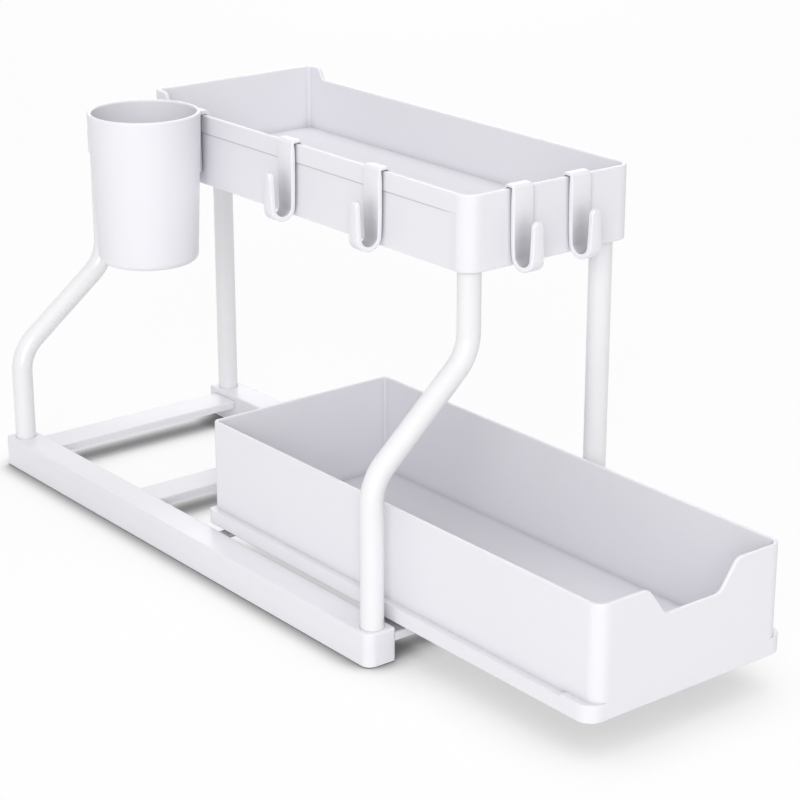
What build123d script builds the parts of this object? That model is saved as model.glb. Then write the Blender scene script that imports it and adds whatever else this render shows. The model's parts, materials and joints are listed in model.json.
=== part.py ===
import os
from build123d import *

os.makedirs("parts", exist_ok=True)

# Axes: X right, Y to the back, Z up. The origin is on the floor, in line with the middle of the base
# frame from side to side and halfway from the front of the open drawer to the back of the frame.
# The drawer comes out to the front, and the bent posts, the cup and two hooks are on the left.

# Run of the drawer from where it stands, further out and back in
open_travel = 12.0
close_travel = 155.0

# Base frame
base_depth = 400.0
base_width = 185.0
rail_width = 20.0
rail_top = 20.5
rail_wall = 2.4
rail_front_round = 6.0
rail_corner_round = 2.0
rail_edge_round = 1.2
rail_x = base_width / 2 - rail_width / 2
inner_x = base_width / 2 - rail_width
base_y = close_travel / 2
base_front = base_y - base_depth / 2
base_back = base_y + base_depth / 2

# Foot pads under the rails
pad_radius = 7.0
pad_thickness = 1.6
pad_proud = 0.6
pad_chamfer = 0.3
loose_fit = 0.15

# Posts, in sockets near the ends of the rails
post_radius = 6.75
post_wall = 1.2
post_bend = 28.0
post_foot_z = 3.0
post_inset = 9.0
boss_radius = 8.9
front_post_y = base_front + post_inset
rear_post_y = base_back - post_inset

# Crossbars
bar_depth = 24.0
bar_height = 5.0
bar_drop = 3.5
bar_skin = 2.2
bar_end = 9.0
bar_round = 1.0
bar_tenon = 2.4
front_bar_inset = 1.0
rear_bar_inset = 8.0
mid_bar_offset = 58.5
bar_top = rail_top - bar_drop
front_bar_y = base_front + front_bar_inset + bar_depth / 2
mid_bar_y = base_y + mid_bar_offset
rear_bar_y = base_back - rear_bar_inset - bar_depth / 2

# Top tray, whose front left corner stands over a post
tray_width = 121.3
tray_length = 306.4
tray_overhang = 3.0
tray_bottom = 214.4
tray_height = 43.5
tray_rise = 7.0
tray_skirt = 7.9
tray_floor = 2.0
tray_wall = 2.6
skirt_wall = 2.0
tray_front_corner = 9.5
tray_back_corner = 4.5
tray_foot_round = 1.2
tray_rim_round = 0.9
post_to_wall = 11.0
panel_drop = 10.9
panel_depth = 0.6
panel_run = 6.0
step_flat = 10.8
step_run = 8.6
tray_right = base_width / 2 + tray_overhang
tray_left = tray_right - tray_width
tray_front = front_post_y - post_to_wall
tray_back = tray_front + tray_length
tray_x = (tray_left + tray_right) / 2
tray_y = (tray_front + tray_back) / 2
tray_floor_z = tray_bottom + tray_skirt
tray_top = tray_bottom + tray_height
tray_back_top = tray_top + tray_rise

# Upper rails that carry the tray on the four posts
upper_width = 9.0
upper_height = 7.3
socket_wall = 1.0
socket_drop = 8.0
socket_skin = 1.6
left_top_x = tray_left + post_to_wall
right_top_x = rail_x
upper_bottom = tray_floor_z - upper_height
post_top = tray_floor_z - socket_skin

# Heights at which the posts on the left lean inwards
front_low_bend = 106.0
front_high_bend = 166.0
rear_low_bend = 80.0
rear_high_bend = 133.0

# Drawer, standing open by close_travel
drawer_length = 342.0
drawer_height = 65.0
drawer_wall = 2.4
drawer_floor = 2.4
drawer_front_corner = 8.0
drawer_back_corner = 4.0
drawer_rim_round = 0.8
flange_gap = 0.8
flange_width = 5.0
flange_height = 9.0
flange_skin = 2.2
flange_front_corner = 9.5
flange_back_corner = 4.0
flange_round = 0.8
tab_length = 22.0
tab_height = 1.3
notch_low_half = 19.5
notch_high_half = 32.0
notch_depth = 17.0
notch_round = 7.0

# Glide strips under the drawer, and the stops that they meet
glide_width = 4.0
glide_height = 4.7
glide_gap = 0.3
glide_inset = 12.7
glide_end_gap = 12.0
glide_round = 1.5
keeper_wall = 1.5
keeper_drop = 2.0
lug_width = 4.5
lug_length = 5.0
lug_top_gap = 0.4
guide_gap = 0.6
guide_width = 5.5
guide_length = 7.0
foot_length = 8.0
foot_gap = 0.5

# Places that follow from the sizes of the drawer and its glides
flange_half = inner_x - flange_gap
drawer_half = flange_half - flange_width
glide_x = drawer_half - glide_inset
drawer_front = base_front - close_travel
drawer_back = drawer_front + drawer_length
drawer_y = (drawer_front + drawer_back) / 2
drawer_bottom = bar_top + glide_gap + glide_height
drawer_top = drawer_bottom + drawer_height
flange_top = drawer_bottom + flange_height
guide_top = drawer_bottom - keeper_drop - glide_gap
glide_length = drawer_length - 2 * glide_end_gap
groove_half = glide_width / 2 + loose_fit
keeper_half = groove_half + keeper_wall
guide_y = front_bar_y + bar_depth / 2 - guide_length / 2

# Hanging cup
cup_rim_radius = 34.2
cup_foot_radius = 30.4
cup_height = 92.2
cup_rise = 6.8
cup_gap = 4.2
cup_from_back = 49.0
cup_wall = 2.6
cup_floor = 2.8
cup_foot_round = 4.0
cup_rim_round = 1.1
clip_width = 12.0
clip_thickness = 2.4
clip_bend = 1.7
clip_drop = 13.0
clip_gap = 0.3
rest_width = 8.0
rest_drop = 36.0
cup_x = tray_left - cup_gap - cup_rim_radius
cup_y = tray_back - cup_from_back
cup_rim_z = tray_top + cup_rise
cup_foot_z = cup_rim_z - cup_height

# Hooks, with the places of their middles from the left and front walls of the tray
hook_width = 16.0
hook_tongue_width = 10.0
hook_tip_width = 8.0
hook_thickness = 3.0
hook_stand = 0.9
hook_fold_thickness = 2.0
hook_lip_thickness = 1.7
hook_lip = 12.0
hook_drop = 45.3
hook_throat = 4.7
hook_tip = 29.0
hook_fold = 2.4
hook_round = 0.7
left_hook_places = [161.2, 79.2]
front_hook_places = [36.6, 78.7]

# One overrun for cuts that pass right through, and how far up a face looks to count as part of a rim
overrun = 2.0
rim_share = 0.3


def save(part, name):
    part.label = name
    export_step(part, "parts/" + name + ".step")


# A rectangle whose front and back corners have radii of their own
def cornered(width, length, front_radius, back_radius):
    with BuildSketch() as outline:
        Rectangle(width, length)
        rows = outline.vertices().group_by(Axis.Y)
        fillet(rows[0], front_radius)
        rows = outline.vertices().group_by(Axis.Y)
        fillet(rows[-1], back_radius)
    return outline.sketch


# The edges on both sides of a rim, whose faces look up and lie above the given height
def rim_edges(part, height):
    faces = [face for face in part.faces() if face.center().Z > height and face.normal_at().Z > rim_share]
    edges = [edge for face in faces for edge in face.edges()]
    return [edge for edge in edges if edges.count(edge) == 1]


# Rails of the base frame, hollow from below, with a socket for a post at each end
def make_rail(side, name):
    x = side * rail_x
    with BuildPart() as rail:
        with BuildSketch(Plane.XY.offset(pad_proud)):
            with Locations((x, base_y)):
                Rectangle(rail_width, base_depth)
        extrude(amount=rail_top - pad_proud)
        uprights = rail.edges().filter_by(Axis.Z).group_by(Axis.Y)
        front_outer = uprights[0].sort_by(Axis.X)[0 if side < 0 else -1]
        others = [edge for edge in rail.edges().filter_by(Axis.Z) if edge != front_outer]
        fillet(front_outer, rail_front_round)
        fillet(others, rail_corner_round)
        fillet(rail.faces().sort_by(Axis.Z)[-1].edges(), rail_edge_round)
        with BuildSketch(Plane.XY.offset(pad_proud)):
            with Locations((x, base_y)):
                Rectangle(rail_width - 2 * rail_wall, base_depth - 2 * rail_wall)
        extrude(amount=rail_top - pad_proud - rail_wall, mode=Mode.SUBTRACT)
        with BuildSketch(Plane.XY.offset(pad_proud)):
            with Locations((x, front_post_y), (x, rear_post_y)):
                Circle(boss_radius)
        extrude(amount=rail_top - pad_proud - rail_wall / 2)
        with BuildSketch(Plane.XY.offset(post_foot_z)):
            with Locations((x, front_post_y), (x, rear_post_y)):
                Circle(post_radius + loose_fit)
        extrude(amount=rail_top, mode=Mode.SUBTRACT)
        with BuildSketch(Plane.XY):
            with Locations((x, front_post_y), (x, rear_post_y)):
                Circle(pad_radius + loose_fit)
        extrude(amount=pad_thickness, mode=Mode.SUBTRACT)
        slot_depth = bar_tenon + loose_fit
        with BuildSketch(Plane.XY.offset(bar_top - bar_height - loose_fit)):
            for y in (front_bar_y, mid_bar_y, rear_bar_y):
                with Locations((side * (inner_x + slot_depth / 2), y)):
                    Rectangle(slot_depth, bar_depth + 2 * loose_fit)
        extrude(amount=bar_height + 2 * loose_fit, mode=Mode.SUBTRACT)
    save(rail.part, name)


make_rail(-1, "left_rail")
make_rail(1, "right_rail")

# Four soft pads pressed into the undersides of the rails
with BuildPart() as pads:
    with BuildSketch():
        for x in (-rail_x, rail_x):
            with Locations((x, front_post_y), (x, rear_post_y)):
                Circle(pad_radius)
    extrude(amount=pad_thickness)
    chamfer(pads.faces().group_by(Axis.Z)[0].edges(), pad_chamfer)
save(pads.part, "foot_pads")


# Crossbars, shallow channels open below, that the drawer rides on
def make_bar(y, guides, name):
    half_length = inner_x + bar_tenon
    with BuildPart() as bar:
        with BuildSketch(Plane.XY.offset(bar_top - bar_height)):
            with Locations((0, y)):
                Rectangle(2 * half_length, bar_depth)
        extrude(amount=bar_height)
        fillet(bar.edges().filter_by(Axis.X).group_by(Axis.Z)[-1], bar_round)
        with BuildSketch(Plane.XY.offset(bar_top - bar_height)):
            with Locations((0, y)):
                Rectangle(2 * (half_length - bar_end), bar_depth - 2 * bar_skin)
        extrude(amount=bar_height - bar_skin, mode=Mode.SUBTRACT)
        if guides:
            guide_x = glide_x + glide_width / 2 + guide_gap + guide_width / 2
            with BuildSketch(Plane.XY.offset(bar_top - bar_skin / 2)):
                with Locations((-guide_x, guide_y), (guide_x, guide_y)):
                    Rectangle(guide_width, guide_length)
            extrude(amount=guide_top - bar_top + bar_skin / 2)
    save(bar.part, name)


make_bar(rear_bar_y, False, "rear_crossbar")
make_bar(mid_bar_y, False, "mid_crossbar")
make_bar(front_bar_y, True, "front_crossbar")


# Posts: round tubes, straight on the right and bent inwards on the left
def make_post(points, name):
    with BuildPart() as post:
        with BuildLine() as path:
            if len(points) > 2:
                FilletPolyline(*points, radius=post_bend)
            else:
                Line(points[0], points[1])
        with BuildSketch(Plane(origin=points[0], z_dir=(0, 0, 1))):
            Circle(post_radius)
            Circle(post_radius - post_wall, mode=Mode.SUBTRACT)
        sweep(path=path.wires()[0])
    save(post.part, name)


def bent_points(y, low, high):
    return [
        (-rail_x, y, post_foot_z),
        (-rail_x, y, low),
        (left_top_x, y, high),
        (left_top_x, y, post_top),
    ]


make_post(bent_points(front_post_y, front_low_bend, front_high_bend), "front_left_post")
make_post(bent_points(rear_post_y, rear_low_bend, rear_high_bend), "rear_left_post")
make_post([(rail_x, front_post_y, post_foot_z), (rail_x, front_post_y, post_top)], "front_right_post")
make_post([(rail_x, rear_post_y, post_foot_z), (rail_x, rear_post_y, post_top)], "rear_right_post")


# Upper rails: flat bars under the tray, with a socket over the end of each post
def make_upper(x, name):
    socket_radius = post_radius + loose_fit + socket_wall
    with BuildPart() as upper:
        with BuildSketch(Plane.XY.offset(upper_bottom)):
            with Locations((x, (front_post_y + rear_post_y) / 2)):
                Rectangle(upper_width, rear_post_y - front_post_y)
        extrude(amount=tray_floor_z - upper_bottom)
        with BuildSketch(Plane.XY.offset(upper_bottom)):
            with Locations((x, front_post_y)):
                Circle(socket_radius)
        extrude(amount=tray_floor_z - upper_bottom)
        with BuildSketch(Plane.XY.offset(upper_bottom - socket_drop)):
            with Locations((x, rear_post_y)):
                Circle(socket_radius)
        extrude(amount=tray_floor_z - upper_bottom + socket_drop)
        with BuildSketch(Plane.XY.offset(upper_bottom - socket_drop)):
            with Locations((x, front_post_y), (x, rear_post_y)):
                Circle(post_radius + loose_fit)
        extrude(amount=post_top - upper_bottom + socket_drop, mode=Mode.SUBTRACT)
    save(upper.part, name)


make_upper(left_top_x, "left_upper_rail")
make_upper(right_top_x, "right_upper_rail")

# Top tray: thin walls over a skirt, long panels set back in both sides, and a back that stands higher
step_top_y = tray_back - step_flat
step_foot_y = step_top_y - step_run
panel_front = tray_front + tray_front_corner
panel_back = tray_back - tray_back_corner
tray_outline = cornered(tray_width, tray_length, tray_front_corner, tray_back_corner)
tray_inside = cornered(
    tray_width - 2 * tray_wall,
    tray_length - 2 * tray_wall,
    tray_front_corner - tray_wall,
    tray_back_corner - tray_wall,
)
skirt_inside = cornered(
    tray_width - 2 * skirt_wall,
    tray_length - 2 * skirt_wall,
    tray_front_corner - skirt_wall,
    tray_back_corner - skirt_wall,
)
with BuildPart() as tray:
    with BuildSketch(Plane.XY.offset(tray_bottom)):
        with Locations((tray_x, tray_y)):
            add(tray_outline)
    extrude(amount=tray_back_top - tray_bottom)
    with BuildSketch(Plane.YZ.offset(tray_left - overrun)):
        with BuildLine():
            Polyline(
                (step_foot_y, tray_top),
                (tray_front - overrun, tray_top),
                (tray_front - overrun, tray_back_top + overrun),
                (step_top_y, tray_back_top + overrun),
                (step_top_y, tray_back_top),
            )
            Spline(
                (step_top_y, tray_back_top),
                (step_foot_y, tray_top),
                tangents=[(-1, 0), (-1, 0)],
            )
        make_face()
    extrude(amount=tray_width + 2 * overrun, mode=Mode.SUBTRACT)
    foot = tray.faces().sort_by(Axis.Z)[0]
    fillet(foot.edges(), tray_foot_round)
    with BuildSketch(Plane.XY.offset(tray_floor_z + tray_floor)):
        with Locations((tray_x, tray_y)):
            add(tray_inside)
    extrude(amount=tray_back_top - tray_floor_z, mode=Mode.SUBTRACT)
    with BuildSketch(Plane.XY.offset(tray_bottom)):
        with Locations((tray_x, tray_y)):
            add(skirt_inside)
    extrude(amount=tray_floor_z - tray_bottom, mode=Mode.SUBTRACT)
    fillet(rim_edges(tray.part, tray_top - tray_rim_round), tray_rim_round)
    with BuildSketch(Plane.XY.offset(tray_bottom)):
        for side in (-1, 1):
            wall_x = tray_x + side * tray_width / 2
            deep_x = wall_x - side * panel_depth
            clear_x = wall_x + side * overrun
            with BuildLine():
                Polyline(
                    (wall_x, panel_front),
                    (deep_x, panel_front + panel_run),
                    (deep_x, panel_back - panel_run),
                    (wall_x, panel_back),
                    (clear_x, panel_back),
                    (clear_x, panel_front),
                    close=True,
                )
            make_face()
    extrude(amount=tray_height - panel_drop, mode=Mode.SUBTRACT)
    with BuildSketch(Plane.XY.offset(tray_bottom)):
        with Locations((left_top_x, tray_back), (right_top_x, tray_back)):
            Rectangle(upper_width + 2 * loose_fit, 2 * tray_back_corner)
    extrude(amount=tray_floor_z - tray_bottom, mode=Mode.SUBTRACT)
save(tray.part, "top_tray")

# Drawer: a deep box with a flange along its foot and a scooped front
flange_outline = cornered(2 * flange_half, drawer_length, flange_front_corner, flange_back_corner)
drawer_outline = cornered(2 * drawer_half, drawer_length, drawer_front_corner, drawer_back_corner)
drawer_inside = cornered(
    2 * (drawer_half - drawer_wall),
    drawer_length - 2 * drawer_wall,
    drawer_front_corner - drawer_wall,
    drawer_back_corner - drawer_wall,
)
with BuildPart() as drawer:
    with BuildSketch(Plane.XY.offset(drawer_bottom)):
        with Locations((0, drawer_y)):
            add(flange_outline)
    extrude(amount=flange_top - drawer_bottom)
    with BuildSketch(Plane.XY.offset(flange_top)):
        with Locations((0, drawer_y)):
            add(flange_outline)
        with Locations((0, drawer_front + tab_length / 2)):
            Rectangle(2 * flange_half, tab_length, mode=Mode.INTERSECT)
    extrude(amount=tab_height)
    fillet(drawer.faces().sort_by(Axis.Z)[0].edges(), flange_round)
    with BuildSketch(Plane.XY.offset(drawer_bottom + flange_round)):
        with Locations((0, drawer_y)):
            add(drawer_outline)
    extrude(amount=drawer_height - flange_round)
    with BuildSketch(Plane.XY.offset(drawer_bottom + drawer_floor)):
        with Locations((0, drawer_y)):
            add(drawer_inside)
    extrude(amount=drawer_top, mode=Mode.SUBTRACT)
    flange_room = flange_width - flange_skin
    flange_run = drawer_length - flange_front_corner - flange_back_corner - 2 * flange_skin
    room_y = drawer_y + (flange_front_corner - flange_back_corner) / 2
    with BuildSketch(Plane.XY.offset(drawer_bottom)):
        for side in (-1, 1):
            with Locations((side * (drawer_half + flange_room / 2), room_y)):
                Rectangle(flange_room, flange_run)
    extrude(amount=flange_top - drawer_bottom - flange_skin, mode=Mode.SUBTRACT)
    with BuildSketch(Plane.XZ.offset(-drawer_front - drawer_wall - overrun)):
        with BuildLine():
            FilletPolyline(
                (-notch_high_half - notch_depth, drawer_top + notch_depth),
                (-notch_high_half - notch_depth, drawer_top),
                (-notch_high_half, drawer_top),
                (-notch_low_half, drawer_top - notch_depth),
                (notch_low_half, drawer_top - notch_depth),
                (notch_high_half, drawer_top),
                (notch_high_half + notch_depth, drawer_top),
                (notch_high_half + notch_depth, drawer_top + notch_depth),
                radius=notch_round,
                close=True,
            )
        make_face()
    extrude(amount=drawer_wall + 2 * overrun, mode=Mode.SUBTRACT)
    fillet(rim_edges(drawer.part, drawer_top - notch_depth - drawer_rim_round), drawer_rim_round)
    with BuildSketch(Plane.XY.offset(drawer_bottom - keeper_drop)):
        for side in (-1, 1):
            with Locations((side * glide_x, drawer_y)):
                Rectangle(2 * keeper_half, glide_length + 2 * keeper_wall)
                Rectangle(2 * groove_half, glide_length + 2 * loose_fit, mode=Mode.SUBTRACT)
    extrude(amount=keeper_drop)
save(drawer.part, "drawer")


# Glide strips that slide on the crossbars; their lugs stop the drawer at both ends of its run,
# and the feet at their back ends keep it in line between the rails
def make_glide(side, name):
    glide_side = glide_x + glide_width / 2
    lug_x = side * (glide_side + lug_width / 2)
    open_lug = guide_y + guide_length / 2 + open_travel + glide_gap + lug_length / 2
    close_lug = guide_y - guide_length / 2 - close_travel - glide_gap - lug_length / 2
    foot_width = inner_x - foot_gap - glide_side
    foot_y = drawer_back - glide_end_gap - foot_length / 2
    with BuildPart() as glide:
        with BuildSketch(Plane.XY.offset(bar_top + glide_gap)):
            with Locations((side * glide_x, drawer_y)):
                Rectangle(glide_width, glide_length)
        extrude(amount=drawer_bottom - bar_top - glide_gap)
        fillet(glide.edges().filter_by(Axis.X).group_by(Axis.Z)[0], glide_round)
        with BuildSketch(Plane.XY.offset(bar_top + glide_gap)):
            with Locations((lug_x, open_lug), (lug_x, close_lug)):
                Rectangle(lug_width, lug_length)
            with Locations((side * (glide_side + foot_width / 2), foot_y)):
                Rectangle(foot_width, foot_length)
        extrude(amount=drawer_bottom - keeper_drop - lug_top_gap - bar_top - glide_gap)
    save(glide.part, name)


make_glide(-1, "left_glide")
make_glide(1, "right_glide")

# Hanging cup with a clip that goes over the left wall of the tray
taper = (cup_rim_radius - cup_foot_radius) / (cup_rim_z - cup_foot_z)
with BuildPart() as cup:
    with BuildSketch(Plane.XZ.offset(-cup_y)):
        with BuildLine():
            Polyline(
                (cup_x, cup_foot_z),
                (cup_x + cup_foot_radius, cup_foot_z),
                (cup_x + cup_rim_radius, cup_rim_z),
                (cup_x, cup_rim_z),
                close=True,
            )
        make_face()
    revolve(axis=Axis((cup_x, cup_y, 0), (0, 0, 1)))
    fillet(cup.faces().sort_by(Axis.Z)[0].edges(), cup_foot_round)
    clip_z = tray_top + clip_gap + clip_thickness / 2
    clip_x = tray_left + tray_wall + clip_gap + clip_thickness / 2
    with BuildSketch(Plane.XZ.offset(-cup_y - clip_width / 2)):
        with BuildLine():
            FilletPolyline(
                (cup_x, clip_z),
                (clip_x, clip_z),
                (clip_x, clip_z - clip_drop),
                radius=clip_bend,
            )
        trace(line_width=clip_thickness)
    extrude(amount=clip_width)
    with BuildSketch(Plane.XY.offset(tray_top - rest_drop)):
        with Locations(((cup_x + tray_left - clip_gap) / 2, cup_y)):
            Rectangle(tray_left - clip_gap - cup_x, rest_width)
    extrude(amount=rest_drop + clip_gap + clip_thickness)
    with BuildSketch(Plane.XZ.offset(-cup_y)):
        with BuildLine():
            inner_foot = cup_foot_radius + taper * cup_floor - cup_wall
            inner_rim = cup_rim_radius + taper * cup_wall - cup_wall
            Polyline(
                (cup_x, cup_foot_z + cup_floor),
                (cup_x + inner_foot, cup_foot_z + cup_floor),
                (cup_x + inner_rim, cup_rim_z + cup_wall),
                (cup_x, cup_rim_z + cup_wall),
                close=True,
            )
        make_face()
    revolve(axis=Axis((cup_x, cup_y, 0), (0, 0, 1)), mode=Mode.SUBTRACT)
    fillet(cup.faces().filter_by(Axis.Z).sort_by(Axis.Z)[-1].edges(), cup_rim_round)
save(cup.part, "hanging_cup")

# One hook, drawn against the outer face of a wall whose top is at the origin: a strip folded over the
# rim, then a turn into a narrower tongue
strip_out = hook_stand + hook_thickness
lip_in = tray_wall + clip_gap
lip_out = lip_in + hook_lip_thickness
fold_z = clip_gap + hook_fold_thickness
outer_turn = hook_throat + hook_thickness
throat_y = strip_out + hook_throat
turn_z = outer_turn - hook_drop
tip_z = hook_tip - hook_drop
half_width = hook_width / 2
tongue_half = hook_tongue_width / 2
tip_half = hook_tip_width / 2
narrow_z = turn_z - hook_throat
low_z = -hook_drop - overrun
with BuildPart() as tongue:
    with BuildSketch(Plane.YZ.offset(-tongue_half)):
        with BuildLine():
            CenterArc((-throat_y, turn_z), hook_throat, 180, 90)
            Line((-throat_y, turn_z - hook_throat), (-throat_y, turn_z - outer_turn))
            CenterArc((-throat_y, turn_z), outer_turn, 180, 90)
            Polyline(
                (-throat_y - hook_throat, turn_z),
                (-throat_y - hook_throat, tip_z),
                (-throat_y - outer_turn, tip_z),
                (-throat_y - outer_turn, turn_z),
            )
        make_face()
    extrude(amount=hook_tongue_width)
    with BuildSketch(Plane.XZ):
        with BuildLine():
            Spline((-tip_half, tip_z - tip_half), (-tongue_half, turn_z), tangents=[(0, -1), (0, -1)])
            Polyline(
                (-tongue_half, turn_z),
                (-tongue_half, low_z),
                (tongue_half, low_z),
                (tongue_half, turn_z),
            )
            Spline((tongue_half, turn_z), (tip_half, tip_z - tip_half), tangents=[(0, 1), (0, 1)])
            ThreePointArc((tip_half, tip_z - tip_half), (0, tip_z), (-tip_half, tip_z - tip_half))
        make_face()
    extrude(amount=throat_y + outer_turn + overrun, mode=Mode.INTERSECT)

with BuildPart() as hook:
    with BuildSketch(Plane.YZ.offset(-half_width)):
        with BuildLine():
            FilletPolyline(
                (lip_out, clip_gap - hook_lip),
                (lip_out, fold_z),
                (-strip_out, fold_z),
                (-strip_out, turn_z),
                radius=hook_fold,
            )
            CenterArc((-throat_y, turn_z), hook_throat, -90, 90)
            Line((-throat_y, turn_z - hook_throat), (-throat_y, turn_z - outer_turn))
            CenterArc((-throat_y, turn_z), outer_turn, -90, 90)
            Polyline(
                (-hook_stand, turn_z),
                (-hook_stand, clip_gap),
                (lip_in, clip_gap),
                (lip_in, clip_gap - hook_lip),
                (lip_out, clip_gap - hook_lip),
            )
        make_face()
    extrude(amount=hook_width)
    with BuildSketch(Plane.XZ.offset(-lip_out - overrun)):
        with BuildLine():
            Polyline(
                (-half_width, turn_z),
                (-half_width, fold_z + overrun),
                (half_width, fold_z + overrun),
                (half_width, turn_z),
            )
            Spline((half_width, turn_z), (tongue_half, narrow_z), tangents=[(0, -1), (0, -1)])
            Polyline(
                (tongue_half, narrow_z),
                (tongue_half, low_z),
                (-tongue_half, low_z),
                (-tongue_half, narrow_z),
            )
            Spline((-tongue_half, narrow_z), (-half_width, turn_z), tangents=[(0, 1), (0, 1)])
        make_face()
    extrude(amount=lip_out + overrun + throat_y, mode=Mode.INTERSECT)
    add(tongue.part)
    long_edges = [edge for edge in hook.edges() if edge.length > lip_out]
    fillet([edge for edge in long_edges if abs(edge.tangent_at(0).X) < rim_share], hook_round)

places = {}
for place, hook_name in zip(left_hook_places, ("left_rear_hook", "left_front_hook")):
    places[hook_name] = Location((tray_left, tray_front + place, tray_top), (0, 0, -90))
for place, hook_name in zip(front_hook_places, ("front_left_hook", "front_right_hook")):
    places[hook_name] = Location((tray_left + place, tray_front, tray_top))
for hook_name, place in places.items():
    save(hook.part.moved(place), hook_name)
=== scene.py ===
import json
import math

import bpy
from mathutils import Matrix, Vector


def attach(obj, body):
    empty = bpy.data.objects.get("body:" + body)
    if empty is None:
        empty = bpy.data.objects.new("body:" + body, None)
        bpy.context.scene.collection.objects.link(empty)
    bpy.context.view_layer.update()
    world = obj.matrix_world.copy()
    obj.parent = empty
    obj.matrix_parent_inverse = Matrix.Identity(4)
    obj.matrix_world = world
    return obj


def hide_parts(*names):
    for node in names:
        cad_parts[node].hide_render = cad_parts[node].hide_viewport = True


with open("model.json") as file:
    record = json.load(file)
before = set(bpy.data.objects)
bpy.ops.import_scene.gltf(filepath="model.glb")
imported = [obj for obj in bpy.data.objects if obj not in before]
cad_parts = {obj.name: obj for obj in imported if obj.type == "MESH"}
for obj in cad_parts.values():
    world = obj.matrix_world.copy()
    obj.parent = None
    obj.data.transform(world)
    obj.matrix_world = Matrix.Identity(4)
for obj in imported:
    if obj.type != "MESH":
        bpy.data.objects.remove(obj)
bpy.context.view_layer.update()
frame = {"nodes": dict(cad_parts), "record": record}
print("frame loaded,", len(frame["nodes"]), "nodes")


# A socket that takes part in plain sums: each operator adds one Math node
class Term:
    def __init__(self, graph, socket):
        self.graph = graph
        self.socket = socket

    def sum(self, operation, first, second):
        node = self.graph.add("ShaderNodeMath", {"operation": operation}, {0: first, 1: second})
        return node.out(0)

    def __add__(self, other):
        return self.sum("ADD", self, other)

    def __radd__(self, other):
        return self.sum("ADD", other, self)

    def __sub__(self, other):
        return self.sum("SUBTRACT", self, other)

    def __rsub__(self, other):
        return self.sum("SUBTRACT", other, self)

    def __mul__(self, other):
        return self.sum("MULTIPLY", self, other)

    def __rmul__(self, other):
        return self.sum("MULTIPLY", other, self)


# One node of a graph, with its outputs as terms
class GraphNode:
    def __init__(self, graph, node):
        self.graph = graph
        self.node = node

    def out(self, name):
        return Term(self.graph, self.node.outputs[name])


# The nodes of a material, of the world or of a modifier
class Graph:
    def __init__(self, tree):
        self.tree = tree

    def add(self, kind, settings=None, values=None):
        node = self.tree.nodes.new(kind)
        for key, setting in (settings or {}).items():
            setattr(node, key, setting)
        self.fill(node, values or {})
        return GraphNode(self, node)

    # Links the terms and writes the plain values into a node's inputs
    def fill(self, node, values):
        for key, value in values.items():
            if isinstance(value, Term):
                self.tree.links.new(value.socket, node.inputs[key])
            else:
                node.inputs[key].default_value = value


# Places of the colour sockets on a Mix node, and samples of the nodes that trace rays
mixSockets = {"first": 6, "second": 7, "result": 2}
raySamples = {"openness": 12, "bevel": 6}


class ShaderGraph(Graph):
    # Goes smoothly from low to high while the value goes from start to end
    def ramp(self, value, start, end, low=0.0, high=1.0):
        return self.add("ShaderNodeMapRange", {"interpolation_type": "SMOOTHSTEP"}, {
            "Value": value, "From Min": start, "From Max": end, "To Min": low, "To Max": high,
        }).out("Result")

    def mix(self, factor, first, second, blend="MIX"):
        return self.add("ShaderNodeMix", {"data_type": "RGBA", "blend_type": blend}, {
            "Factor": factor, mixSockets["first"]: first, mixSockets["second"]: second,
        }).out(mixSockets["result"])

    # How open a place is, from 0 to 1: within reach of its own object alone, or of all objects
    def openness(self, reach, alone=False):
        settings = {"samples": raySamples["openness"], "only_local": alone}
        return self.add("ShaderNodeAmbientOcclusion", settings, {"Distance": reach}).out("AO")

    def softNormal(self, radius):
        return self.add("ShaderNodeBevel", {"samples": raySamples["bevel"]}, {"Radius": radius}).out("Normal")

    # 1 for the rays that show the background: from the camera, off gloss and through glass
    def shownRays(self):
        rays = self.add("ShaderNodeLightPath")
        return rays.out("Is Camera Ray") + rays.out("Is Glossy Ray") + rays.out("Is Transmission Ray")


def newMaterial(name):
    material = bpy.data.materials.new(name)
    material.use_nodes = True
    material.node_tree.nodes.clear()
    return material


def rgba(colour):
    return (*colour, 1.0)


white = rgba((1.0, 1.0, 1.0))


# Where a painted shade line runs along both long sides of the tray, below the step of the wall's upper band,
# fading towards its ends
def paintedStepShadeMask(graph, place, paintedStepShade):
    parts = graph.add("ShaderNodeSeparateXYZ", {}, {"Vector": place})

    def away(axis, middle):
        return graph.add("ShaderNodeMath", {"operation": "ABSOLUTE"}, {0: parts.out(axis) - middle}).out(0)

    skinStart = paintedStepShade["half"] - paintedStepShade["skinDepth"]
    skinFull = paintedStepShade["half"] - paintedStepShade["skinClear"]
    line = graph.ramp(away("Z", paintedStepShade["height"]), 0.0, paintedStepShade["width"], 1.0, 0.0)
    wall = graph.ramp(away("X", paintedStepShade["middle"]), skinStart, skinFull)
    front = graph.ramp(parts.out("Y"), paintedStepShade["front"], paintedStepShade["front"] + paintedStepShade["fade"])
    back = graph.ramp(parts.out("Y"), paintedStepShade["back"] - paintedStepShade["fade"], paintedStepShade["back"], 1.0, 0.0)
    return line * wall * front * back * paintedStepShade["depth"]


noises = {
    "cloud": {"Detail": 3.0, "Roughness": 0.55},
    "grain": {"Detail": 2.0, "Roughness": 0.6},
    "smear": {"Detail": 4.0, "Roughness": 0.6, "Distortion": 0.6},
}
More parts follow.
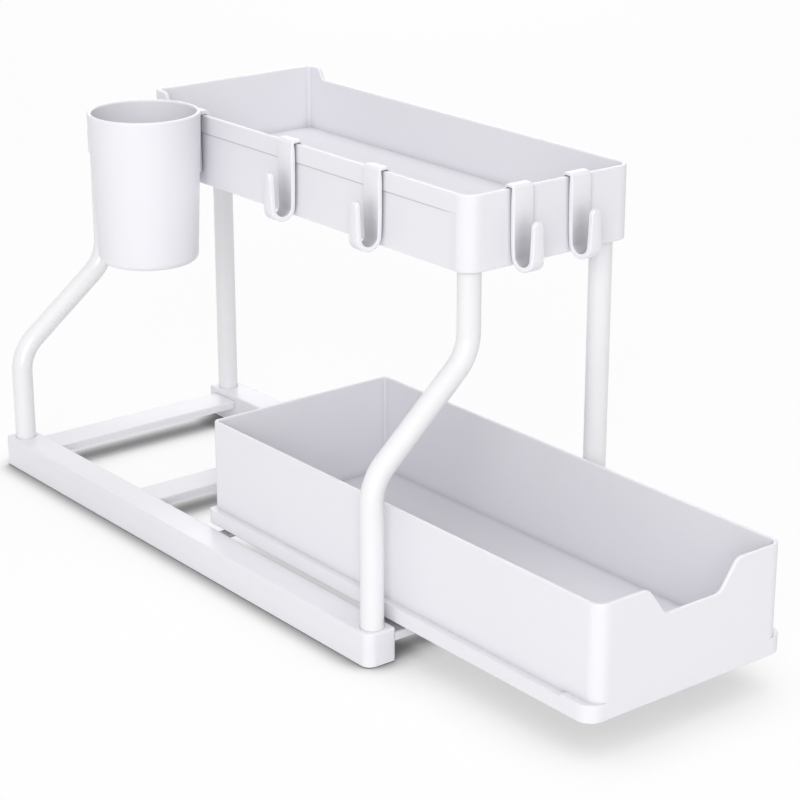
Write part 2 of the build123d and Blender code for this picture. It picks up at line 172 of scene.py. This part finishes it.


# A moulded or coated surface: faint clouding and a fine grain, with a painted highlight on its edges and
# painted shade in its creases and close to other parts
def mouldedFinish(name, look):
    material = newMaterial(name)
    graph = ShaderGraph(material.node_tree)
    place = graph.add("ShaderNodeTexCoord").out("Object")

    def noise(kind):
        values = {"Vector": place, "Scale": look[kind + "Scale"], **noises[kind]}
        return graph.add("ShaderNodeTexNoise", {}, values).out("Fac")

    # An edge is where the softened normal bends away from the flat one; edges get a painted highlight in the
    # colour, weaker in hollows
    openness = graph.openness(look["paintedShadeReach"], look["alone"])
    flat = graph.add("ShaderNodeNewGeometry").out("True Normal")
    turned = graph.softNormal(look["paintedHighlightReach"])
    along = graph.add("ShaderNodeVectorMath", {"operation": "DOT_PRODUCT"}, {0: flat, 1: turned})
    # Painted highlight: a paler colour on convex edges
    paintedHighlight = graph.ramp(1.0 - along.out("Value"), look["paintedHighlightStart"], look["paintedHighlightFull"], 0.0, look["paintedHighlightShare"])
    # Painted shade: a darker colour where the place is closed in, by this object or by others near it
    paintedShade = graph.ramp(openness, look["paintedShadeShut"], look["paintedShadeOpen"], look["paintedShadeDepth"], 0.0)
    colour = graph.mix(noise("cloud"), rgba(look["deep"]), rgba(look["pale"]))
    colour = graph.mix(paintedHighlight * openness * openness, colour, rgba(look["paintedHighlightColour"]))
    colour = graph.mix(paintedShade, colour, rgba(look["paintedShadeColour"]))
    # Painted shade line along the tray's long sides, in the painted shade colour
    if "paintedStepShade" in look:
        colour = graph.mix(paintedStepShadeMask(graph, place, look["paintedStepShade"]), colour, rgba(look["paintedShadeColour"]))
    roughness = look["roughness"] + (noise("smear") - 0.5) * look["roughnessSpread"]
    normal = graph.add("ShaderNodeBump", {}, {
        "Strength": look["grainStrength"], "Distance": look["grainDepth"], "Height": noise("grain"),
        "Normal": graph.softNormal(look["edgeRadius"]),
    })
    shader = graph.add("ShaderNodeBsdfPrincipled", {}, {
        "Base Color": colour, "Roughness": roughness, "Normal": normal.out("Normal"),
        "IOR": look["ior"], "Coat Weight": look["coat"], "Coat Roughness": look["coatRoughness"],
    })
    graph.add("ShaderNodeOutputMaterial", {}, {"Surface": shader.out("BSDF")})
    return material


# What the finishes share, the painted highlight and painted shade among them; lengths are in metres
common = {
    "ior": 1.46, "coat": 0.0, "coatRoughness": 0.3,
    "paintedHighlightReach": 0.0011, "paintedHighlightStart": 0.004, "paintedHighlightFull": 0.12, "paintedHighlightShare": 0.85,
    "paintedHighlightColour": (0.965, 0.962, 0.975),
    "alone": False, "paintedShadeReach": 0.008, "paintedShadeShut": 0.0,
}
plastic = {
    **common,
    "deep": (0.815, 0.808, 0.848), "pale": (0.84, 0.833, 0.872), "roughness": 0.33, "roughnessSpread": 0.1,
    "cloudScale": 9.0, "smearScale": 26.0, "grainScale": 2600.0,
    "grainStrength": 0.25, "grainDepth": 0.00004, "edgeRadius": 0.0006,
    "paintedShadeOpen": 0.9, "paintedShadeDepth": 0.7, "paintedShadeColour": (0.42, 0.415, 0.45),
}
# Copies of one plastic that differ in painted shade: the rail's sees only its own shape and the hook's is
# deeper
finishes = {
    "plasticWhite": plastic,
    "railWhite": {**plastic, "alone": True},
    "hookWhite": {
        **plastic, "edgeRadius": 0.0004, "alone": True, "paintedShadeReach": 0.016, "paintedShadeShut": 0.6,
        "paintedShadeOpen": 0.97, "paintedShadeDepth": 0.72, "paintedShadeColour": (0.25, 0.245, 0.27),
    },
    # The tray's copy adds a painted shade line below the band's step on its long sides
    "trayWhite": {**plastic, "paintedStepShade": {
        "height": 0.2466, "width": 0.0007, "depth": 0.7,
        "middle": 0.03485, "half": 0.06065, "skinDepth": 0.0012, "skinClear": 0.0008,
        "front": -0.1145, "back": 0.179, "fade": 0.012,
    }},
    "tubeWhite": {
        **common, "coat": 0.55, "coatRoughness": 0.16,
        "deep": (0.835, 0.833, 0.85), "pale": (0.85, 0.848, 0.865), "roughness": 0.3, "roughnessSpread": 0.08,
        "cloudScale": 12.0, "smearScale": 30.0, "grainScale": 900.0,
        "grainStrength": 0.18, "grainDepth": 0.00005, "edgeRadius": 0.0004,
        "paintedShadeOpen": 0.7, "paintedShadeDepth": 0.5, "paintedShadeColour": (0.5, 0.498, 0.52),
    },
    "glideWhite": {
        **common,
        "deep": (0.78, 0.775, 0.8), "pale": (0.81, 0.805, 0.83), "roughness": 0.3, "roughnessSpread": 0.08,
        "cloudScale": 14.0, "smearScale": 30.0, "grainScale": 1500.0,
        "grainStrength": 0.1, "grainDepth": 0.00003, "edgeRadius": 0.0003,
        "paintedShadeOpen": 0.8, "paintedShadeDepth": 0.6, "paintedShadeColour": (0.4, 0.395, 0.42),
    },
    "padGrey": {
        **common, "paintedHighlightReach": 0.0005, "paintedHighlightShare": 0.0, "paintedHighlightColour": (0.7, 0.7, 0.72),
        "deep": (0.62, 0.62, 0.64), "pale": (0.68, 0.68, 0.7), "roughness": 0.75, "roughnessSpread": 0.1,
        "cloudScale": 60.0, "smearScale": 90.0, "grainScale": 1800.0,
        "grainStrength": 0.4, "grainDepth": 0.00008, "edgeRadius": 0.0002, "alone": True,
        "paintedShadeReach": 0.002, "paintedShadeOpen": 0.4, "paintedShadeDepth": 0.4, "paintedShadeColour": (0.45, 0.45, 0.46),
    },
}
materials = {name: mouldedFinish(name, look) for name, look in finishes.items()}
slotFinish = {
    "white_plastic": "plasticWhite", "coated_steel": "tubeWhite",
    "glide_plastic": "glideWhite", "soft_pad": "padGrey",
}
nodeFinish = {
    "left_rail": "railWhite", "right_rail": "railWhite", "top_tray": "trayWhite",
    "left_rear_hook": "hookWhite", "left_front_hook": "hookWhite",
    "front_left_hook": "hookWhite", "front_right_hook": "hookWhite",
}
for subpart in frame["record"]["subparts"]:
    finish = nodeFinish.get(subpart["node"], slotFinish[subpart["material_slot"]])
    nodeMesh = frame["nodes"][subpart["node"]].data
    nodeMesh.materials.clear()
    nodeMesh.materials.append(materials[finish])
print("finishes set")


# A modifier's node tree: it sweeps a section along straight runs with rounded bends
class SweepGraph(Graph):
    def __init__(self, name, pointCount, sizes):
        super().__init__(bpy.data.node_groups.new(name, "GeometryNodeTree"))
        self.pointNames = ["Point " + str(number + 1) for number in range(pointCount)]
        inputs = {**{point: "Vector" for point in self.pointNames}, **sizes, "Finish": "Material"}
        self.sockets = {}
        interface = self.tree.interface
        interface.new_socket("Geometry", in_out="OUTPUT", socket_type="NodeSocketGeometry")
        for label, kind in inputs.items():
            socket = interface.new_socket(label, in_out="INPUT", socket_type="NodeSocket" + kind)
            self.sockets[label] = socket.identifier
        self.start = self.add("NodeGroupInput")

    def given(self, label):
        return self.start.out(label)

    def runs(self):
        line = self.add("GeometryNodeCurvePrimitiveLine", {}, {"Start": (0, 0, 0), "End": (0, 0, 1)})
        path = self.add("GeometryNodeResampleCurve", {}, {
            "Curve": line.out("Curve"), "Count": len(self.pointNames),
        })
        number = self.add("GeometryNodeInputIndex").out("Index")
        spot = self.add("GeometryNodeIndexSwitch", {"data_type": "VECTOR"}, {"Index": number})
        while len(spot.node.index_switch_items) < len(self.pointNames):
            spot.node.index_switch_items.new()
        self.fill(spot.node, {place: self.given(name) for place, name in enumerate(self.pointNames, 1)})
        placed = self.add("GeometryNodeSetPosition", {}, {
            "Geometry": path.out("Curve"), "Position": spot.out(0),
        })
        return placed.out("Geometry")

    def rounded(self, curve, radius, steps):
        return self.add("GeometryNodeFilletCurve", {"mode": "POLY"}, {
            "Curve": curve, "Count": steps, "Radius": radius,
        }).out("Curve")

    def swept(self, curve, section):
        return self.add("GeometryNodeCurveToMesh", {}, {
            "Curve": curve, "Profile Curve": section, "Fill Caps": True,
        }).out("Mesh")

    # The value at a share of the way along a curve drawn through the given places
    def drawn(self, share, places):
        curve = self.add("ShaderNodeFloatCurve", {}, {"Value": share})
        points = curve.node.mapping.curves[0].points
        while len(points) < len(places):
            points.new(0.5, 0.5)  # between the ends, until each point gets its own place
        for point, place in zip(points, places):
            point.location = place
        curve.node.mapping.update()
        return curve.out("Value")

    def finish(self, geometry):
        real = self.add("GeometryNodeRealizeInstances", {}, {"Geometry": geometry})
        coated = self.add("GeometryNodeSetMaterial", {}, {
            "Geometry": real.out("Geometry"), "Material": self.given("Finish"),
        })
        self.add("NodeGroupOutput", {}, {"Geometry": coated.out("Geometry")})
        return self

    # Runs the tree once and keeps its result as a plain mesh
    def grow(self, name, points, values):
        seed = bpy.data.objects.new(name + "Seed", bpy.data.meshes.new(name + "Seed"))
        bpy.context.scene.collection.objects.link(seed)
        modifier = seed.modifiers.new("tree", "NODES")
        modifier.node_group = self.tree
        for label, value in {**dict(zip(self.pointNames, points)), **values}.items():
            modifier[self.sockets[label]] = value
        bpy.context.view_layer.update()
        evaluated = seed.evaluated_get(bpy.context.evaluated_depsgraph_get())
        mesh = bpy.data.meshes.new_from_object(evaluated)
        mesh.name = name
        seed.modifiers.remove(modifier)
        bpy.data.objects.remove(seed)
        piece = bpy.data.objects.new(name, mesh)
        bpy.context.scene.collection.objects.link(piece)
        return piece


def smooth(piece, sharpAngle):
    piece.data.shade_smooth()
    piece.data.set_sharp_from_angle(angle=math.radians(sharpAngle))


# Posts: each is one tube through four points, leaning inwards on the left and upright on the right
posts = {
    "radius": 0.00675, "bend": 0.028, "bendSteps": 24, "sides": 64, "sharpAngle": 50,
    "outer": -0.0825, "inner": -0.0148, "right": 0.0825, "front": -0.1135, "rear": 0.2685,
    "foot": 0.003, "top": 0.2207, "frontBends": (0.106, 0.166), "rearBends": (0.08, 0.133), "points": 4,
}


def leaningPoints(y, bends):
    return [
        (posts["outer"], y, posts["foot"]),
        (posts["outer"], y, bends[0]),
        (posts["inner"], y, bends[1]),
        (posts["inner"], y, posts["top"]),
    ]


def uprightPoints(y):
    length = posts["top"] - posts["foot"]
    heights = [posts["foot"] + length * step / (posts["points"] - 1) for step in range(posts["points"])]
    return [(posts["right"], y, z) for z in heights]


def tubeGraph():
    graph = SweepGraph("bentTube", posts["points"], {
        "Radius": "Float", "Bend Radius": "Float", "Bend Steps": "Int", "Sides": "Int",
    })
    bent = graph.rounded(graph.runs(), graph.given("Bend Radius"), graph.given("Bend Steps"))
    ring = graph.add("GeometryNodeCurvePrimitiveCircle", {}, {
        "Resolution": graph.given("Sides"), "Radius": graph.given("Radius"),
    })
    return graph.finish(graph.swept(bent, ring.out("Curve")))


postPoints = {
    "front_left_post": leaningPoints(posts["front"], posts["frontBends"]),
    "rear_left_post": leaningPoints(posts["rear"], posts["rearBends"]),
    "front_right_post": uprightPoints(posts["front"]),
    "rear_right_post": uprightPoints(posts["rear"]),
}
postValues = {
    "Radius": posts["radius"], "Bend Radius": posts["bend"], "Bend Steps": posts["bendSteps"],
    "Sides": posts["sides"], "Finish": materials["tubeWhite"],
}
postGraph = tubeGraph()
for node, points in postPoints.items():
    tube = postGraph.grow(node + "_tube", points, postValues)
    smooth(tube, posts["sharpAngle"])
    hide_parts(node)
    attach(tube, "base")
print("posts made")


# Hooks: a rounded strip that folds over the rim, runs down the wall and turns up into a tongue. Its
# width and thickness are drawn as pairs: a share of the length, and a share of the full size there.
hooks = {
    "width": 0.0152, "thickness": 0.003, "edge": 0.0009, "foldRadius": 0.0014, "turnRadius": 0.00615,
    "lipY": 0.00375, "stripY": -0.0024, "tongueY": -0.0148,
    "lipZ": -0.0117, "foldZ": 0.0013, "turnZ": -0.0438, "tipZ": -0.0163,
    "widthShares": [
        (0.0, 0.9), (0.5, 0.9), (0.62, 0.78), (0.78, 0.56), (0.9, 0.47), (0.962, 0.43), (0.98, 0.37),
        (0.992, 0.25), (1.0, 0.03),
    ],
    "thicknessShares": [(0.0, 0.55), (0.11, 0.57), (0.2, 0.68), (0.26, 1.0), (0.97, 1.0), (1.0, 0.86)],
    "steps": 320, "bendSteps": 24, "edgeSteps": 5, "sharpAngle": 40,
    "lastFold": 2,  # the points after this one are rounded with the turn's radius
}
hookPoints = [(0.0, hooks[y], hooks[z]) for y, z in (
    ("lipY", "lipZ"), ("lipY", "foldZ"), ("stripY", "foldZ"),
    ("stripY", "turnZ"), ("tongueY", "turnZ"), ("tongueY", "tipZ"),
)]

# The tray's walls, how far along them each hook hangs, and its turn about Z in degrees
tray = {
    "left": -0.0258, "front": -0.1245, "top": 0.2579, "sideTurn": -90.0, "frontTurn": 0.0,
    "sideHooks": {"left_rear_hook": 0.1612, "left_front_hook": 0.0792},
    "frontHooks": {"front_left_hook": 0.0366, "front_right_hook": 0.0787},
}
hookPlaces = {}
for node, along in tray["sideHooks"].items():
    hookPlaces[node] = (tray["left"], tray["front"] + along, tray["sideTurn"])
for node, along in tray["frontHooks"].items():
    hookPlaces[node] = (tray["left"] + along, tray["front"], tray["frontTurn"])


def stripGraph():
    graph = SweepGraph("bentStrip", len(hookPoints), {
        "Width": "Float", "Thickness": "Float", "Edge": "Float", "Fold Radius": "Float",
        "Turn Radius": "Float", "Steps": "Int",
    })
    low = graph.add("FunctionNodeCompare", {"data_type": "INT", "operation": "GREATER_THAN"}, {
        "A": graph.add("GeometryNodeInputIndex").out("Index"), "B": hooks["lastFold"],
    })
    radius = graph.add("GeometryNodeSwitch", {"input_type": "FLOAT"}, {
        "Switch": low.out("Result"), "False": graph.given("Fold Radius"), "True": graph.given("Turn Radius"),
    })
    bent = graph.rounded(graph.runs(), radius.out(0), hooks["bendSteps"])
    even = graph.add("GeometryNodeResampleCurve", {}, {"Curve": bent, "Count": graph.given("Steps")})
    level = graph.add("GeometryNodeSetCurveNormal", {"mode": "FREE"}, {
        "Curve": even.out("Curve"), "Normal": (1.0, 0.0, 0.0),
    })

    # The share of the length and the middle line are kept while the section is swept
    share = graph.add("GeometryNodeSplineParameter").out("Factor")
    position = graph.add("GeometryNodeInputPosition").out("Position")
    kept = graph.add("GeometryNodeCaptureAttribute", {"domain": "POINT"})
    kept.node.capture_items.new("FLOAT", "share")
    kept.node.capture_items.new("VECTOR", "middle")
    graph.fill(kept.node, {0: level.out(0), 1: share, 2: position})
    section = graph.add("GeometryNodeCurvePrimitiveQuadrilateral", {}, {
        "Width": graph.given("Width"), "Height": graph.given("Thickness"),
    })
    softened = graph.rounded(section.out("Curve"), graph.given("Edge"), hooks["edgeSteps"])
    strip = graph.swept(kept.out(0), softened)

    # Each point's distance from the middle line is then scaled by the shares at its place
    away = graph.add("ShaderNodeVectorMath", {"operation": "SUBTRACT"}, {0: position, 1: kept.out(2)})
    wide = graph.drawn(kept.out(1), hooks["widthShares"])
    thick = graph.drawn(kept.out(1), hooks["thicknessShares"])
    scale = graph.add("ShaderNodeCombineXYZ", {}, {"X": wide, "Y": thick, "Z": thick})
    moved = graph.add("ShaderNodeVectorMath", {"operation": "MULTIPLY_ADD"}, {
        0: away.out("Vector"), 1: scale.out("Vector"), 2: kept.out(2),
    })
    shaped = graph.add("GeometryNodeSetPosition", {}, {"Geometry": strip, "Position": moved.out("Vector")})
    return graph.finish(shaped.out("Geometry"))


hookValues = {
    "Width": hooks["width"], "Thickness": hooks["thickness"], "Edge": hooks["edge"],
    "Fold Radius": hooks["foldRadius"], "Turn Radius": hooks["turnRadius"], "Steps": hooks["steps"],
    "Finish": materials["hookWhite"],
}
hookGraph = stripGraph()
for node, (x, y, turn) in hookPlaces.items():
    strip = hookGraph.grow(node + "_strip", hookPoints, hookValues)
    turned = Matrix.Rotation(math.radians(turn), 4, "Z")
    strip.data.transform(Matrix.Translation((x, y, tray["top"])) @ turned)
    smooth(strip, hooks["sharpAngle"])
    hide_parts(node)
    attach(strip, node + "_body")
print("hooks made")


# Floor: it takes the lamps' shadows, has a painted shadow close to the object, and otherwise shows as white
floor = {
    "size": 12.0, "glow": 1.0, "glowShare": 0.88,
    "deep": (0.94, 0.94, 0.943), "pale": (0.955, 0.955, 0.958), "cloudScale": 3.0, "cloudDetail": 2.0,
    # Painted shadow on the floor: a dark one at contact and a softer, wider one
    "paintedContactReach": 0.02, "paintedContactShut": 0.35, "paintedContactOpen": 0.92, "paintedContactShadowColour": (0.12, 0.12, 0.125),
    "paintedSoftReach": 0.05, "paintedSoftShut": 0.15, "paintedSoftOpen": 0.95,
    "paintedSoftShadowDepth": 0.5, "paintedSoftShadowColour": (0.3, 0.3, 0.305),
}


def floorFinish():
    material = newMaterial("paleFloor")
    graph = ShaderGraph(material.node_tree)
    cloud = graph.add("ShaderNodeTexNoise", {}, {
        "Vector": graph.add("ShaderNodeTexCoord").out("Object"),
        "Scale": floor["cloudScale"], "Detail": floor["cloudDetail"],
    })
    tint = graph.mix(cloud.out("Fac"), rgba(floor["deep"]), rgba(floor["pale"]))
    diffuse = graph.add("ShaderNodeBsdfDiffuse", {}, {"Color": tint})
    # Painted shadow: the colour shown darkens where the object is close, sharply within the short reach and
    # softly within the long one
    paintedContactShadow = graph.ramp(graph.openness(floor["paintedContactReach"]), floor["paintedContactShut"], floor["paintedContactOpen"])
    paintedSoftShadow = graph.ramp(graph.openness(floor["paintedSoftReach"]), floor["paintedSoftShut"], floor["paintedSoftOpen"])
    shown = graph.mix(paintedContactShadow, rgba(floor["paintedContactShadowColour"]), white)
    shown = graph.mix((1.0 - paintedSoftShadow) * floor["paintedSoftShadowDepth"], shown, rgba(floor["paintedSoftShadowColour"]), "MULTIPLY")
    glow = graph.add("ShaderNodeEmission", {}, {"Color": shown, "Strength": floor["glow"]})
    surface = graph.add("ShaderNodeMixShader", {}, {
        "Fac": graph.shownRays() * floor["glowShare"], 1: diffuse.out("BSDF"), 2: glow.out("Emission"),
    })
    graph.add("ShaderNodeOutputMaterial", {}, {"Surface": surface.out("Shader")})
    return material


def makeFloor():
    half = floor["size"] / 2
    mesh = bpy.data.meshes.new("floor")
    corners = [(-half, -half, 0), (half, -half, 0), (half, half, 0), (-half, half, 0)]
    mesh.from_pydata(corners, [], [(0, 1, 2, 3)])
    mesh.materials.append(floorFinish())
    plane = bpy.data.objects.new("floor", mesh)
    bpy.context.scene.collection.objects.link(plane)


makeFloor()

# Studio: even light from all sides that shows as plain white behind the object, and four soft lamps
studio = {"worldLight": 0.48, "worldShown": 1.0, "lampTarget": (0.0, 0.0, 0.1)}
lamps = {
    "overheadLamp": {"place": (0.1, 0.0, 2.6), "size": 1.8, "power": 20.0},
    "frontLamp": {"place": (-1.85, -1.95, 1.45), "size": 1.3, "power": 28.0},
    "lowLamp": {"place": (-2.0, -2.05, 0.5), "size": 1.3, "power": 15.0},
    "backLamp": {"place": (1.6, 1.9, 1.2), "size": 1.2, "power": 9.0},
}
camera = {
    "place": (-0.7875, -1.0285, 0.5683), "azimuth": -38.38, "elevation": 19.75,
    "lens": 103.5, "sensor": 36.0,
}


def makeWorld():
    world = bpy.data.worlds.new("studio")
    world.use_nodes = True
    world.node_tree.nodes.clear()
    graph = ShaderGraph(world.node_tree)
    light = graph.add("ShaderNodeBackground", {}, {"Color": white, "Strength": studio["worldLight"]})
    shown = graph.add("ShaderNodeBackground", {}, {"Color": white, "Strength": studio["worldShown"]})
    surface = graph.add("ShaderNodeMixShader", {}, {
        "Fac": graph.shownRays(), 1: light.out("Background"), 2: shown.out("Background"),
    })
    graph.add("ShaderNodeOutputWorld", {}, {"Surface": surface.out("Shader")})
    bpy.context.scene.world = world


# Puts a lamp or camera at a place and points it along a direction
def makeHolder(name, held, place, direction):
    holder = bpy.data.objects.new(name, held)
    holder.location = place
    holder.rotation_mode = "QUATERNION"
    holder.rotation_quaternion = direction.to_track_quat("-Z", "Y")
    bpy.context.scene.collection.objects.link(holder)
    return holder


def makeLamp(name, lamp):
    light = bpy.data.lights.new(name, "AREA")
    light.size = lamp["size"]
    light.energy = lamp["power"]
    makeHolder(name, light, lamp["place"], Vector(studio["lampTarget"]) - Vector(lamp["place"]))


def makeCamera():
    lens = bpy.data.cameras.new("photoCamera")
    lens.lens = camera["lens"]
    lens.sensor_width = camera["sensor"]
    azimuth = math.radians(camera["azimuth"])
    elevation = math.radians(camera["elevation"])
    back = Vector((
        math.sin(azimuth) * math.cos(elevation),
        -math.cos(azimuth) * math.cos(elevation),
        math.sin(elevation),
    ))
    bpy.context.scene.camera = makeHolder("photoCamera", lens, camera["place"], -back)


makeWorld()
for lampName, lamp in lamps.items():
    makeLamp(lampName, lamp)
makeCamera()
bpy.context.scene.view_settings.view_transform = "Standard"
print("stage ready")
